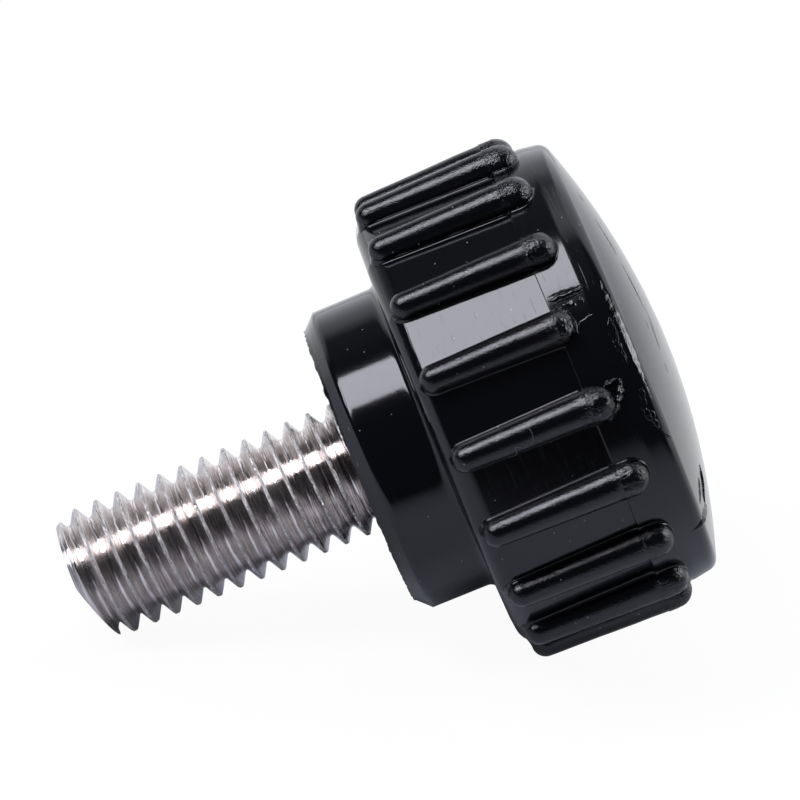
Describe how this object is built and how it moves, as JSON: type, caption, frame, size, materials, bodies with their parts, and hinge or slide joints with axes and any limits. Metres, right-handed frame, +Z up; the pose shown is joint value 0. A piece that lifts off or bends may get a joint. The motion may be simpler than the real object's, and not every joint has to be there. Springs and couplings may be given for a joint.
{
  "type": "thumb screw",
  "caption": "Thumb screw: a black moulded knob with drafted grip ribs, a domed top and a round neck, made around a plated threaded stud.",
  "frame": {"origin": "point on the flat surface the screw lies on, under the centre of its bounding box", "axes": "+X along the surface from the stud's tip towards the domed head, with the screw's own axis leaning up from +X by 24.7 degrees; +Y across the screw; +Z up from the surface"},
  "size_m": [0.0288, 0.0222, 0.0222],
  "materials": {
    "black_plastic": "polished",
    "plated_steel": "bright plated, a little dull on the thread"
  },
  "bodies": {
    "root": {"knob": "black_plastic", "stud": "plated_steel"}
  },
  "joints": []
}
